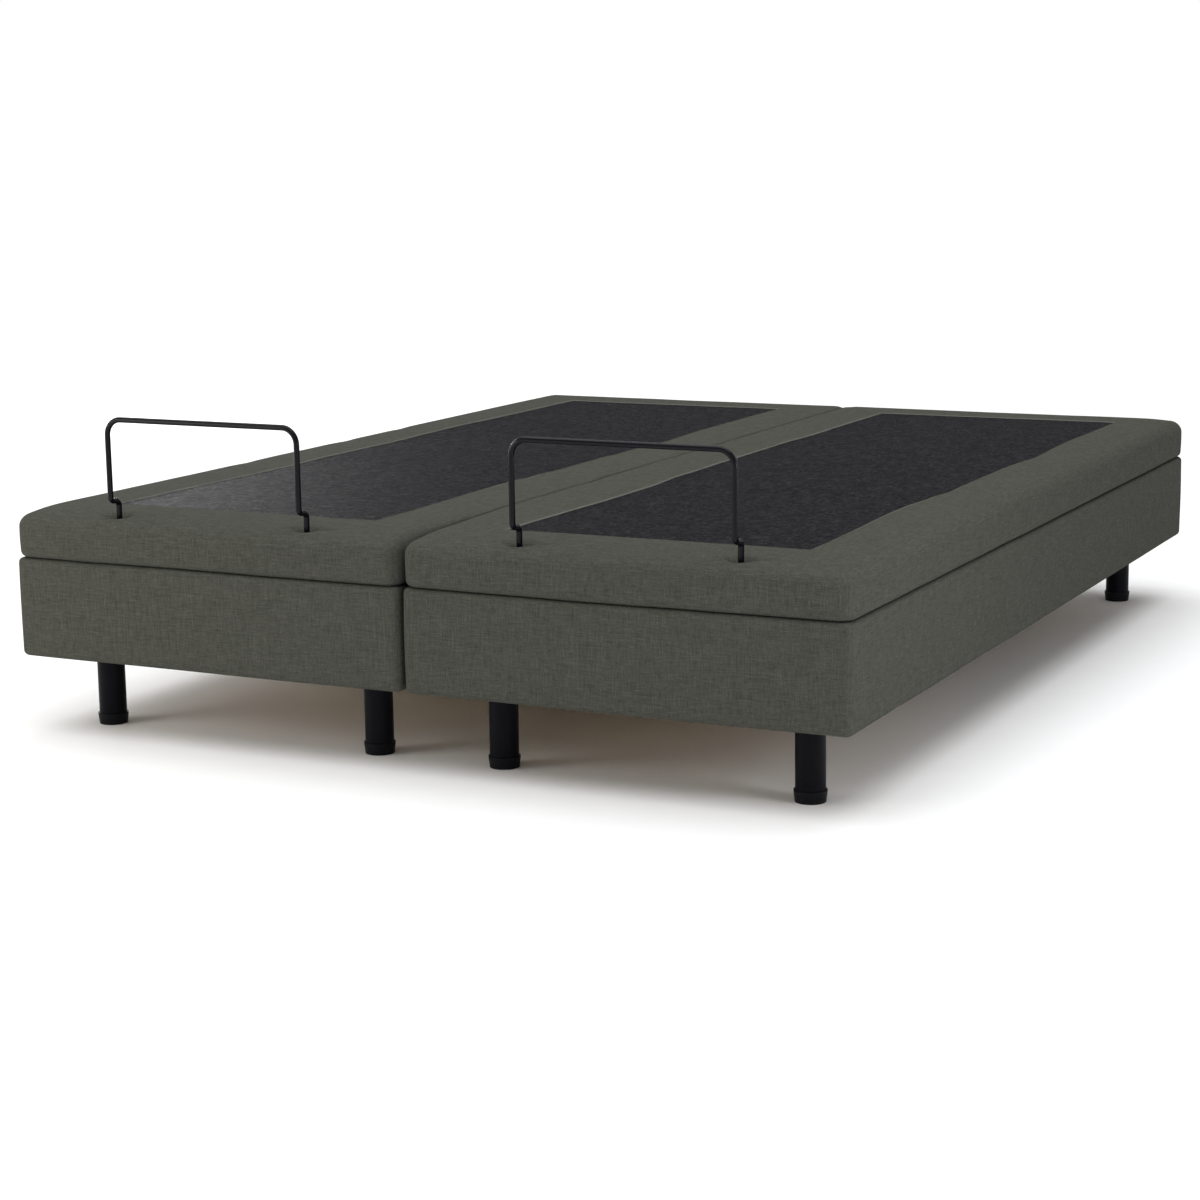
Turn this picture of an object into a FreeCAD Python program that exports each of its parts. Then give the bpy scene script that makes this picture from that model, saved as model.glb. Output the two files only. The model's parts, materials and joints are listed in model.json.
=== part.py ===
"""Twin adjustable bed base: two upholstered boxes, each with a hinged upholstered lid and its own drive.

Millimetres. X runs across both units, the foot end is at -Y, the head end at +Y, Z is up from the floor.
Every driving size is in the spreadsheet "dims"; each exported object is one physical piece, or one set of
identical pieces, and carries its node name as its Label.
"""

import FreeCAD
import Part
import Sketcher
import os
import re

UNITS = (("left", "-unit_x"), ("right", "unit_x"))
ENDS = (("foot", "-1"), ("head", "1"))
SIDES = (("a", "-1"), ("b", "1"))

SIZES = {
    # overall sizes of one unit and the space between the two
    "unit_width": "796", "unit_length": "2100", "unit_gap": "8",
    # upholstered box
    "box_bottom": "138", "box_top": "319.7", "skin": "6", "box_board": "18",
    "box_corner_r": "14", "box_bottom_r": "10",
    # legs with their push-on glides
    "leg_d": "50", "glide_d": "55", "glide_foot_d": "51", "glide_high": "20", "glide_floor": "8",
    "leg_inset_x": "112", "leg_inset_inner_x": "127", "leg_inset_y": "115", "stud_d": "10", "stud_long": "34",
    "corner_block": "80", "corner_block_high": "60",
    # lid: plywood deck under an upholstered mat
    "lid_bottom": "320", "lid_top": "403", "deck_bottom": "320", "deck_thick": "16", "deck_inset": "10", "deck_corner_r": "16",
    "lid_edge_r": "24", "lid_corner_r": "27", "knee_gap": "1.5", "fold_gap": "1",
    # where the lid folds, and how far
    "back_hinge_y": "270", "thigh_hinge_y": "40", "knee_y": "-340", "hinge_z": "312",
    "back_angle": "60", "thigh_angle": "35",
    # butt hinges under the deck
    "knuckle_r": "6", "hinge_pin_d": "6", "running": "0.05", "leaf_thick": "4", "leaf_wide": "42",
    "leaf_start": "6.5", "knuckle_long": "24", "hinge_x": "250", "joint_gap": "0.5",
    # torsion tubes that lift the sections through arms and rollers
    "tube_d": "30", "tube_end_gap": "2", "roller_d": "60", "roller_wide": "24", "roller_pin_d": "12",
    "rest_gap": "0.3", "arm_x": "170", "arm_thick": "8", "arm_high": "34", "back_reach": "320",
    "thigh_reach": "230", "thigh_tube_y": "-60", "back_turn": "58.03", "thigh_turn": "48.42",
    "lever_long": "70", "lever_x": "22", "lever_thick": "10", "lever_wide": "9", "lever_nose_r": "14",
    "lever_nose_wide": "12", "bearing_thick": "16", "bearing_size": "56",
    # twin drive hung on the two tubes
    "housing_half": "42", "housing_wall": "4", "housing_floor": "196", "housing_top": "307",
    "housing_foot_y": "-110", "housing_head_y": "330", "gear_foot_y": "34", "gear_head_y": "172",
    "gear_bottom": "150", "motor_d": "46", "motor_long": "118", "motor_z": "173",
    "spindle_d": "14", "spindle_z": "222", "nut_long": "26", "nut_half": "30", "nut_bottom": "203",
    "nut_top": "240", "nut_gap": "1", "spindle_rear": "20",
    # control box and its mains inlet on the head board
    "control_wide": "160", "control_deep": "42", "control_high": "90", "control_bottom": "172",
    "inlet_wide": "50", "inlet_high": "26", "inlet_deep": "20",
    # mattress retainer bar and its sockets
    "bar_d": "10", "bar_half": "196.5", "bar_pin_y": "-1005", "bar_rail_y": "-1028", "bar_jog_z": "428",
    "bar_jog_r": "10", "bar_top_z": "574", "bar_bend_r": "28", "bar_pin_low": "323.3",
    "socket_d": "16", "socket_top": "386", "socket_flange_d": "24", "socket_low": "317",
    # plates that hold the two boxes together
    "link_y": "700", "link_wide": "76", "link_deep": "40", "link_thick": "3", "link_bolt_d": "8",
    "cleat": "30", "cleat_long": "240",
    # sizes that follow from the ones above
    "unit_x": "=(unit_width + unit_gap) / 2",
    "board_half": "=unit_width / 2 - skin",
    "inner_half": "=unit_width / 2 - skin - box_board",
    "board_end": "=unit_length / 2 - skin",
    "inner_end": "=unit_length / 2 - skin - box_board",
    "board_bottom": "=box_bottom + skin",
    "board_top": "=box_top - skin",
    "deck_half": "=unit_width / 2 - deck_inset",
    "deck_end": "=unit_length / 2 - deck_inset",
    "deck_top": "=deck_bottom + deck_thick",
    "back_slope": "=tan(back_angle / 2 * 1 deg)",
    "thigh_slope": "=tan(thigh_angle / 2 * 1 deg)",
    "mat_low": "=lid_bottom - hinge_z",
    "mat_high": "=lid_top - hinge_z",
    "deck_high": "=deck_top - hinge_z",
    "tube_z": "=deck_bottom - rest_gap - roller_d / 2",
    "back_swing": "=lever_long * sin(back_turn / 2 * 1 deg)",
    "back_rise": "=lever_long * cos(back_turn / 2 * 1 deg)",
    "thigh_swing": "=lever_long * sin(thigh_turn / 2 * 1 deg)",
    "thigh_rise": "=lever_long * cos(thigh_turn / 2 * 1 deg)",
    "back_nut_y": "=back_hinge_y - back_swing - lever_nose_r - nut_gap - nut_long",
    "thigh_nut_y": "=thigh_tube_y + thigh_swing + lever_nose_r + nut_gap",
}

doc = FreeCAD.newDocument("adjustable_bed_base")
dims = doc.addObject("Spreadsheet::Sheet", "dims")
for row, (alias, text) in enumerate(SIZES.items(), start=1):
    dims.set(f"A{row}", alias)
    dims.set(f"B{row}", text)
    dims.setAlias(f"B{row}", alias)
doc.recompute()
NODES = []


def value(alias):
    """Present number of one driving or derived size."""
    found = getattr(dims, alias)
    return float(getattr(found, "Value", found))


def formula(text):
    """Rewrite size names in an expression so that they point at the spreadsheet."""
    return re.sub(r"[a-z][a-z_]*", lambda m: "dims." + m.group(0) if m.group(0) in SIZES else m.group(0), text)


def place(obj, x, y, z):
    """Bind an object's position to expressions."""
    for axis, text in zip("xyz", (x, y, z)):
        obj.setExpression(f"Placement.Base.{axis}", formula(text))
    return obj


def block(name, size, low):
    """Box given by its size and its low corner."""
    obj = doc.addObject("Part::Box", name)
    for prop, text in zip(("Length", "Width", "Height"), size):
        obj.setExpression(prop, formula(text))
    return place(obj, *low)


def rod(name, radius, length, start, axis):
    """Round bar from a start point along +X, +Y or +Z."""
    obj = doc.addObject("Part::Cylinder", name)
    obj.setExpression("Radius", formula(radius))
    obj.setExpression("Height", formula(length))
    turns = {
        "x": FreeCAD.Rotation(FreeCAD.Vector(0, 1, 0), 90),
        "y": FreeCAD.Rotation(FreeCAD.Vector(1, 0, 0), -90),
        "z": FreeCAD.Rotation(),
    }
    obj.Placement = FreeCAD.Placement(FreeCAD.Vector(), turns[axis])
    return place(obj, *start)


def bend(name, ring, radius, centre, turn, sweep="90"):
    """Part of a torus: a bent piece of round bar; turn places its plane and its first end."""
    obj = doc.addObject("Part::Torus", name)
    obj.setExpression("Radius1", formula(ring))
    obj.setExpression("Radius2", formula(radius))
    obj.setExpression("Angle3", sweep)
    obj.Placement = FreeCAD.Placement(FreeCAD.Vector(), turn)
    return place(obj, *centre)


def fuse(name, parts):
    """One solid made of touching or overlapping pieces."""
    obj = doc.addObject("Part::MultiFuse", name)
    obj.Shapes = parts
    obj.Refine = True
    return obj


def cut(name, base, tools):
    """Base with every tool taken away."""
    for number, tool in enumerate(tools, start=1):
        obj = doc.addObject("Part::Cut", f"{name}_step{number}")
        obj.Base = base
        obj.Tool = tool
        base = obj
    return base


def group(name, parts):
    """Separate solids kept as one set."""
    obj = doc.addObject("Part::Compound", name)
    obj.Links = parts
    return obj


def rounded(name, base, choose):
    """Fillet the edges for which choose(middle point, edge) gives a radius."""
    doc.recompute()
    edges = []
    for number, edge in enumerate(base.Shape.Edges, start=1):
        middle = edge.valueAt((edge.FirstParameter + edge.LastParameter) / 2)
        radius = choose(middle, edge)
        if radius:
            edges.append((number, radius, radius))
    obj = doc.addObject("Part::Fillet", name)
    obj.Base = base
    obj.Edges = edges
    return obj


def node(label, obj):
    """Register a finished piece under its node name."""
    obj.Label = label
    NODES.append(obj)
    return obj


def turned(label, name, points, where):
    """Piece turned about the vertical: a half profile, in (radius, height) expressions, revolved."""
    body = doc.addObject("PartDesign::Body", name)
    sketch = body.newObject("Sketcher::SketchObject", name + "_profile")
    plane = [f for f in body.Origin.OriginFeatures if f.Role == "XZ_Plane"][0]
    sketch.AttachmentSupport = [(plane, "")]
    sketch.MapMode = "FlatFace"
    numbers = [(value_of(r), value_of(h)) for r, h in points]
    count = len(points)
    for i in range(count):
        start = FreeCAD.Vector(*numbers[i], 0)
        end = FreeCAD.Vector(*numbers[(i + 1) % count], 0)
        sketch.addGeometry(Part.LineSegment(start, end))
    for i in range(count):
        sketch.addConstraint(Sketcher.Constraint("Coincident", i, 2, (i + 1) % count, 1))
    for i, (radius, height) in enumerate(points):
        fix_coordinate(sketch, "DistanceX", i, numbers[i][0], radius)
        fix_coordinate(sketch, "DistanceY", i, numbers[i][1], height)
    turn = body.newObject("PartDesign::Revolution", name + "_turn")
    turn.Profile = sketch
    turn.ReferenceAxis = (sketch, ["V_Axis"])
    turn.Angle = 360
    body.Tip = turn
    place(body, *where)
    return body


def fix_coordinate(sketch, kind, line, number, text):
    """Pin one coordinate of a line's start point: on the axis when it is zero, else by a bound distance."""
    if abs(number) < 1e-9:
        axis = -2 if kind == "DistanceX" else -1
        sketch.addConstraint(Sketcher.Constraint("PointOnObject", line, 1, axis))
        return
    index = sketch.addConstraint(Sketcher.Constraint(kind, -1, 1, line, 1, number))
    sketch.setExpression(f"Constraints[{index}]", formula(text))


def value_of(text):
    """Number of an expression made of size names and arithmetic."""
    holder = doc.addObject("Part::Vertex", "probe")
    holder.setExpression("X", formula(text))
    holder.recompute()
    number = float(holder.X)
    doc.removeObject(holder.Name)
    return number


def leg_spots():
    """Name, plan position, inset and (unit middle, side, end) of every leg.

    The right unit's inner legs stand a little further in, clear of the left unit's.
    """
    for unit, middle in UNITS:
        for side, across in SIDES:
            inset = "leg_inset_inner_x" if (unit, side) == ("right", "a") else "leg_inset_x"
            for end, along in ENDS:
                x = f"{middle} + {across} * (unit_width / 2 - {inset})"
                y = f"{along} * (unit_length / 2 - leg_inset_y)"
                yield f"{unit}_{side}_{end}", x, y, inset, (middle, across, along)


def legs():
    """Steel leg tubes with a stud, plastic glides pushed on below, wooden blocks that take the studs."""
    tubes, glides, blocks = [], [], []
    for name, x, y, inset, (middle, across, along) in leg_spots():
        shaft = rod(f"{name}_leg_shaft", "leg_d / 2", "box_bottom - glide_floor", (x, y, "glide_floor"), "z")
        stud = rod(f"{name}_leg_stud", "stud_d / 2", "stud_long + 6", (x, y, "box_bottom - 6"), "z")
        tubes.append(fuse(f"{name}_leg", [shaft, stud]))
        profile = (
            ("0", "0"), ("glide_foot_d / 2", "0"), ("glide_d / 2", "glide_high - 4"),
            ("glide_d / 2", "glide_high"), ("leg_d / 2 + running", "glide_high"),
            ("leg_d / 2 + running", "glide_floor"), ("0", "glide_floor"),
        )
        glides.append(turned(name, f"{name}_glide", profile, (x, y, "0")))
        reach_x = f"({inset} - skin - box_board + corner_block / 2)"
        reach_y = "(leg_inset_y - skin - box_board + corner_block / 2)"
        solid = block(
            f"{name}_block",
            (reach_x, reach_y, "corner_block_high"),
            (
                f"{middle} + {across} * (inner_half - {reach_x} / 2) - {reach_x} / 2",
                f"{along} * (inner_end - {reach_y} / 2) - {reach_y} / 2",
                "box_bottom",
            ),
        )
        hole = rod(f"{name}_block_bore", "stud_d / 2 + running", "stud_long + 4", (x, y, "box_bottom - 1"), "z")
        blocks.append(cut(f"{name}_block_bored", solid, [hole]))
    node("leg_tubes", group("leg_tubes", tubes))
    node("leg_glides", group("leg_glides", glides))
    node("corner_blocks", group("corner_blocks", blocks))


def box_boards():
    """Upright boards of both boxes: long side boards, and end boards between them."""
    sides, ends = [], []
    for unit, middle in UNITS:
        for side, across in SIDES:
            x = f"{middle} + {across} * (board_half - box_board / 2) - box_board / 2"
            size = ("box_board", "2 * board_end", "board_top - board_bottom")
            sides.append(block(f"{unit}_{side}_side", size, (x, "-board_end", "board_bottom")))
        for end, along in ENDS:
            y = f"{along} * (board_end - box_board / 2) - box_board / 2"
            size = ("2 * inner_half", "box_board", "board_top - board_bottom")
            ends.append(block(f"{unit}_{end}_end", size, (f"{middle} - inner_half", y, "board_bottom")))
    node("side_boards", group("side_boards", sides))
    node("end_boards", group("end_boards", ends))


def box_cover(unit, middle):
    """Foam-backed fabric around the boards of one box, folded over their top and bottom edges."""
    whole = block(
        f"{unit}_cover_whole",
        ("unit_width", "unit_length", "box_top - box_bottom"),
        (f"{middle} - unit_width / 2", "-unit_length / 2", "box_bottom"),
    )
    corner = value("box_corner_r")
    under = value("box_bottom_r")
    low = value("box_bottom")

    def radius(point, edge):
        if abs(edge.BoundBox.ZLength) > 10:
            return corner
        return under if abs(point.z - low) < 0.1 else 0

    outside = rounded(f"{unit}_cover_outside", whole, radius)
    boards = block(
        f"{unit}_cover_boards",
        ("2 * board_half", "2 * board_end", "board_top - board_bottom"),
        (f"{middle} - board_half", "-board_end", "board_bottom"),
    )
    inside = block(
        f"{unit}_cover_inside",
        ("2 * inner_half", "2 * inner_end", "box_top - box_bottom + 20"),
        (f"{middle} - inner_half", "-inner_end", "box_bottom - 10"),
    )
    node(f"{unit}_box_cover", cut(f"{unit}_cover", outside, [boards, inside]))


def mat(unit, middle, section, foot, head):
    """Upholstered mat of one lid section: slanted ends where it folds, rounded where it meets the outside."""
    wedge = doc.addObject("Part::Wedge", f"{unit}_{section}_mat_wedge")
    spans = {
        "Xmin": "-unit_width / 2", "Xmax": "unit_width / 2", "X2min": "-unit_width / 2", "X2max": "unit_width / 2",
        "Ymin": "lid_bottom", "Ymax": "lid_top",
        "Zmin": f"-({head[0]})", "Z2min": f"-({head[1]})",
        "Zmax": f"-({foot[0]})", "Z2max": f"-({foot[1]})",
    }
    for prop, text in spans.items():
        wedge.setExpression(prop, formula(text))
    wedge.Placement = FreeCAD.Placement(FreeCAD.Vector(), FreeCAD.Rotation(FreeCAD.Vector(1, 0, 0), 90))
    place(wedge, middle, "0", "0")
    top, end, half = value("lid_top"), value("unit_length") / 2, value("unit_width") / 2
    centre = value_of(middle)

    def radius(point, edge):
        at_side = abs(abs(point.x - centre) - half) < 0.1
        at_end = abs(abs(point.y) - end) < 0.1
        if at_side and at_end and edge.BoundBox.ZLength > 10:
            return value("lid_corner_r")
        if abs(point.z - top) < 0.1 and (at_side or at_end):
            return value("lid_edge_r")
        return 0

    return rounded(f"{unit}_{section}_mat_soft", wedge, radius)


def sections(unit, middle):
    """Deck boards and mats of the four lid sections."""
    back_low = "back_hinge_y + fold_gap + back_slope * mat_low"
    back_high = "back_hinge_y + fold_gap + back_slope * mat_high"
    seat_head_low = "back_hinge_y - fold_gap - back_slope * mat_low"
    seat_head_high = "back_hinge_y - fold_gap - back_slope * mat_high"
    seat_foot_low = "thigh_hinge_y + fold_gap + thigh_slope * mat_low"
    seat_foot_high = "thigh_hinge_y + fold_gap + thigh_slope * mat_high"
    thigh_low = "thigh_hinge_y - fold_gap - thigh_slope * mat_low"
    thigh_high = "thigh_hinge_y - fold_gap - thigh_slope * mat_high"
    back_deck = "fold_gap + back_slope * deck_high"
    thigh_deck = "fold_gap + thigh_slope * deck_high"
    end = "unit_length / 2"
    plan = {
        "back": ((back_low, back_high), (end, end), f"back_hinge_y + {back_deck}", "deck_end"),
        "seat": (
            (seat_foot_low, seat_foot_high), (seat_head_low, seat_head_high),
            f"thigh_hinge_y + {thigh_deck}", f"back_hinge_y - {back_deck.replace('+', '-')}",
        ),
        "thigh": (
            ("knee_y + knee_gap", "knee_y + knee_gap"), (thigh_low, thigh_high),
            "knee_y + knee_gap", f"thigh_hinge_y - {thigh_deck.replace('+', '-')}",
        ),
        "calf": ((f"-{end}", f"-{end}"), ("knee_y - knee_gap",) * 2, "-deck_end", "knee_y - knee_gap"),
    }
    for section, (foot, head, deck_foot, deck_head) in plan.items():
        soft = mat(unit, middle, section, foot, head)
        low = (f"{middle} - deck_half", deck_foot, "deck_bottom")
        size = ("2 * deck_half", f"({deck_head}) - ({deck_foot})", "deck_thick")
        board = outer_corners(block(f"{unit}_{section}_deck_sheet", size, low), section)
        pocket = block(
            f"{unit}_{section}_mat_pocket",
            ("2 * deck_half", f"({deck_head}) - ({deck_foot}) + {pocket_extra(section)}", "deck_top - lid_bottom + 1"),
            (low[0], f"{deck_foot} - {pocket_foot(section)}", "lid_bottom - 1"),
        )
        pocket = outer_corners(pocket, section)
        soft_tools, board_tools = [pocket], []
        if section == "calf":
            soft_tools += socket_holes(unit, middle, "mat")
            board_tools += socket_holes(unit, middle, "deck")
        node(f"{unit}_{section}_mat", cut(f"{unit}_{section}_mat", soft, soft_tools))
        node(f"{unit}_{section}_deck", cut(f"{unit}_{section}_deck", board, board_tools))


def outer_corners(obj, section):
    """Round the upright edges at the lid's outer end, on the two sections that have one."""
    if section not in ("back", "calf"):
        return obj
    radius = value("deck_corner_r")
    end = value("deck_end")

    def choose(point, edge):
        return radius if edge.BoundBox.ZLength > 10 and abs(abs(point.y) - end) < 0.1 else 0

    return rounded(obj.Name + "_round", obj, choose)


def pocket_foot(section):
    """How far the mat's underside pocket runs past the deck toward the foot, to stay open where the lid folds."""
    return "0" if section == "calf" else "20"


def pocket_extra(section):
    """Added length of the mat's underside pocket."""
    return {"back": "20", "seat": "40", "thigh": "40", "calf": "20"}[section]


def socket_holes(unit, middle, part):
    """Holes that take the retainer bar's two sockets."""
    holes = []
    for side, across in SIDES:
        x = f"{middle} + {across} * bar_half"
        start = (x, "bar_pin_y", "lid_bottom - 2")
        holes.append(rod(f"{unit}_{side}_{part}_hole", "socket_d / 2", "lid_top - lid_bottom + 4", start, "z"))
    return holes


def hinge_leaf(name, x, y, towards, knuckles):
    """One hinge leaf: a screwed plate on one side of the pin line and its knuckles on the pin line."""
    wide = "3 * knuckle_long + 2 * joint_gap"
    if towards > 0:
        plate_y, web_y = f"{y} + leaf_start", y
    else:
        plate_y, web_y = f"{y} - leaf_wide", f"{y} - 9"
    plate = block(
        f"{name}_plate",
        (wide, "leaf_wide - leaf_start", "leaf_thick"),
        (f"{x} - ({wide}) / 2", plate_y, "deck_bottom - leaf_thick"),
    )
    parts = [plate]
    for number in knuckles:
        start = f"{x} - ({wide}) / 2 + {number} * (knuckle_long + joint_gap)"
        parts.append(rod(f"{name}_knuckle{number}", "knuckle_r", "knuckle_long", (start, y, "hinge_z"), "x"))
        parts.append(
            block(f"{name}_web{number}", ("knuckle_long", "9", "8"), (start, web_y, "hinge_z - 3"))
        )
    return parts


def hinge_pair(name, x, y, fixed_side):
    """Butt hinge: outer leaf with two knuckles and the pin, and inner leaf with one bored knuckle."""
    wide = "3 * knuckle_long + 2 * joint_gap"
    outer = hinge_leaf(f"{name}_outer", x, y, fixed_side, (0, 2))
    outer.append(rod(f"{name}_pin", "hinge_pin_d / 2", wide, (f"{x} - ({wide}) / 2", y, "hinge_z"), "x"))
    inner = hinge_leaf(f"{name}_inner", x, y, -fixed_side, (1,))
    bore = rod(
        f"{name}_bore", "hinge_pin_d / 2 + running", "knuckle_long + 2",
        (f"{x} - knuckle_long / 2 - 1", y, "hinge_z"), "x",
    )
    return fuse(f"{name}_outer_leaf", outer), cut(f"{name}_inner_leaf", fuse(f"{name}_inner_raw", inner), [bore])


def hinges(unit, middle):
    """Hinges between the sections; returns the leaves that are screwed to the fixed seat section."""
    seat, back, thigh, calf = [], [], [], []
    for side, across in SIDES:
        x = f"{middle} + {across} * hinge_x"
        fixed, moving = hinge_pair(f"{unit}_{side}_back_hinge", x, "back_hinge_y", -1)
        seat.append(fixed)
        back.append(moving)
        fixed, moving = hinge_pair(f"{unit}_{side}_thigh_hinge", x, "thigh_hinge_y", 1)
        seat.append(fixed)
        thigh.append(moving)
        fixed, moving = hinge_pair(f"{unit}_{side}_knee_hinge", x, "knee_y", 1)
        thigh.append(fixed)
        calf.append(moving)
    node(f"{unit}_back_hinge_leaves", group(f"{unit}_back_leaves", back))
    node(f"{unit}_thigh_hinge_leaves", group(f"{unit}_thigh_leaves", thigh))
    node(f"{unit}_calf_hinge_leaves", group(f"{unit}_calf_leaves", calf))
    return seat


def lift_frame(unit, middle, section, tube_y, towards, turn):
    """Torsion tube with two lifting arms, their roller pins, and the forked lever that the drive pushes."""
    name = f"{unit}_{section}"
    reach = f"{section}_reach"
    tube = rod(
        f"{name}_tube", "tube_d / 2", "2 * (inner_half - tube_end_gap)",
        (f"{middle} - inner_half + tube_end_gap", tube_y, "tube_z"), "x",
    )
    parts = [tube]
    end_y = f"{tube_y} + {towards} * {reach}"
    for side, across in SIDES:
        arm_low = f"{middle} + {across} * arm_x - arm_thick / 2"
        start = tube_y if towards > 0 else end_y
        parts.append(
            block(
                f"{name}_{side}_arm",
                ("arm_thick", reach, "arm_high"),
                (arm_low, start, "tube_z - arm_high / 2"),
            )
        )
        parts.append(rod(f"{name}_{side}_arm_end", "arm_high / 2", "arm_thick", (arm_low, end_y, "tube_z"), "x"))
        pin_low = f"{middle} + {across} * (arm_x - arm_thick / 2 - (roller_wide + 2) / 2) - (roller_wide + 2) / 2"
        pin = rod(f"{name}_{side}_roller_pin", "roller_pin_d / 2", "roller_wide + 2", (pin_low, end_y, "tube_z"), "x")
        parts.append(pin)
        parts += lever(f"{name}_{side}_lever", f"{middle} + {across} * lever_x", tube_y, section, towards)
    node(f"{name}_lift_frame", fuse(f"{name}_frame", parts))


def lever(name, x, tube_y, section, towards):
    """One prong of the drive lever: a leaning shank from the tube down to a round nose."""
    lean = -towards * value(f"{section}_turn") / 2
    shank = block(f"{name}_shank", ("lever_wide", "lever_thick", "lever_long"), ("0", "0", "0"))
    shank.Placement = FreeCAD.Placement()
    turn = FreeCAD.Rotation(FreeCAD.Vector(1, 0, 0), 180 + lean)
    shank.Placement = FreeCAD.Placement(FreeCAD.Vector(), turn)
    half = turn.multVec(FreeCAD.Vector(0, value("lever_thick") / 2, 0))
    place(shank, f"{x} - lever_wide / 2", f"{tube_y} - {half.y:.6f}", f"tube_z - {half.z:.6f}")
    nose_y = f"{tube_y} - {towards} * {section}_swing"
    nose = rod(
        f"{name}_nose", "lever_nose_r", "lever_nose_wide",
        (f"{x} - lever_nose_wide / 2", nose_y, f"tube_z - {section}_rise"), "x",
    )
    return [shank, nose]


def rollers(unit, middle, section, tube_y, towards):
    """Pair of rollers on the ends of one lift frame."""
    wheels = []
    for side, across in SIDES:
        start = (
            f"{middle} + {across} * (arm_x - arm_thick / 2 - 1 - roller_wide / 2) - roller_wide / 2",
            f"{tube_y} + {towards} * {section}_reach",
            "tube_z",
        )
        rim = rod(f"{unit}_{section}_{side}_rim", "roller_d / 2", "roller_wide", start, "x")
        bore = rod(f"{unit}_{section}_{side}_eye", "roller_pin_d / 2 + running", "roller_wide", start, "x")
        wheels.append(cut(f"{unit}_{section}_{side}_roller", rim, [bore]))
    node(f"{unit}_{section}_rollers", group(f"{unit}_{section}_rollers", wheels))


def bearings():
    """Blocks screwed to the side boards that carry both torsion tubes of both units."""
    blocks = []
    for unit, middle in UNITS:
        for side, across in SIDES:
            for section, tube_y in (("back", "back_hinge_y"), ("thigh", "thigh_tube_y")):
                x = f"{middle} + {across} * (inner_half - bearing_thick / 2) - bearing_thick / 2"
                solid = block(
                    f"{unit}_{side}_{section}_bearing_solid",
                    ("bearing_thick", "bearing_size", "bearing_size * 0.75"),
                    (x, f"{tube_y} - bearing_size / 2", "tube_z - bearing_size * 0.45"),
                )
                bore = rod(
                    f"{unit}_{side}_{section}_bearing_bore", "tube_d / 2 + running", "bearing_thick + 2",
                    (f"{x} - 1", tube_y, "tube_z"), "x",
                )
                blocks.append(cut(f"{unit}_{side}_{section}_bearing", solid, [bore]))
    node("tube_bearings", group("tube_bearings", blocks))


def drive_housing(unit, middle):
    """Open trough with a gearbox in its middle; its walls hang on the two torsion tubes."""
    length = "housing_head_y - housing_foot_y"
    floor = block(
        f"{unit}_housing_floor", ("2 * housing_half", length, "housing_wall"),
        (f"{middle} - housing_half", "housing_foot_y", "housing_floor"),
    )
    parts = [floor]
    for side, across in SIDES:
        x = f"{middle} + {across} * (housing_half - housing_wall / 2) - housing_wall / 2"
        parts.append(
            block(
                f"{unit}_housing_wall_{side}", ("housing_wall", length, "housing_top - housing_floor"),
                (x, "housing_foot_y", "housing_floor"),
            )
        )
    for end, y in (("foot", "housing_foot_y"), ("head", "housing_head_y - housing_wall")):
        parts.append(
            block(
                f"{unit}_housing_end_{end}", ("2 * housing_half", "housing_wall", "60"),
                (f"{middle} - housing_half", y, "housing_floor"),
            )
        )
    parts.append(
        block(
            f"{unit}_gearbox", ("2 * housing_half", "gear_head_y - gear_foot_y", "housing_top - gear_bottom"),
            (f"{middle} - housing_half", "gear_foot_y", "gear_bottom"),
        )
    )
    holes = []
    for section, tube_y in (("back", "back_hinge_y"), ("thigh", "thigh_tube_y")):
        start = (f"{middle} - housing_half - 1", tube_y, "tube_z")
        holes.append(
            rod(f"{unit}_{section}_hang_hole", "tube_d / 2 + running", "2 * housing_half + 2", start, "x")
        )
    for section, y in (("back", "gear_head_y - spindle_rear"), ("thigh", "gear_foot_y - 1")):
        holes.append(
            rod(
                f"{unit}_{section}_spindle_hole", "spindle_d / 2 + running", "spindle_rear + 1",
                (middle, y, "spindle_z"), "y",
            )
        )
    return cut(f"{unit}_housing", fuse(f"{unit}_housing_raw", parts), holes)


def drives():
    """Twin drive of each unit: housing, two motors, two spindles and two thrust nuts."""
    housings, motors = [], []
    for unit, middle in UNITS:
        housings.append(drive_housing(unit, middle))
        for section, y in (("thigh", "gear_foot_y - motor_long"), ("back", "gear_head_y")):
            motors.append(
                rod(f"{unit}_{section}_motor", "motor_d / 2", "motor_long", (middle, y, "motor_z"), "y")
            )
        back_start = "gear_head_y - spindle_rear + rest_gap"
        thigh_start = "housing_foot_y + housing_wall + rest_gap"
        spindles = {
            "back": (back_start, f"housing_head_y - housing_wall - rest_gap - ({back_start})"),
            "thigh": (thigh_start, f"gear_foot_y + spindle_rear - rest_gap - ({thigh_start})"),
        }
        for section, (start, length) in spindles.items():
            shaft = rod(
                f"{unit}_{section}_spindle_rod", "spindle_d / 2", length, (middle, start, "spindle_z"), "y"
            )
            node(f"{unit}_{section}_spindle", shaft)
            thrust_nut(unit, middle, section)
    node("drive_housings", group("drive_housings", housings))
    node("drive_motors", group("drive_motors", motors))


def thrust_nut(unit, middle, section):
    """Nut block that runs along the spindle and pushes both prongs of the lever."""
    y = f"{section}_nut_y"
    solid = block(
        f"{unit}_{section}_nut_solid", ("2 * nut_half", "nut_long", "nut_top - nut_bottom"),
        (f"{middle} - nut_half", y, "nut_bottom"),
    )
    bore = rod(
        f"{unit}_{section}_nut_bore", "spindle_d / 2 + running", "nut_long + 2",
        (middle, f"{y} - 1", "spindle_z"), "y",
    )
    node(f"{unit}_{section}_thrust_nut", cut(f"{unit}_{section}_nut", solid, [bore]))


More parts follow.
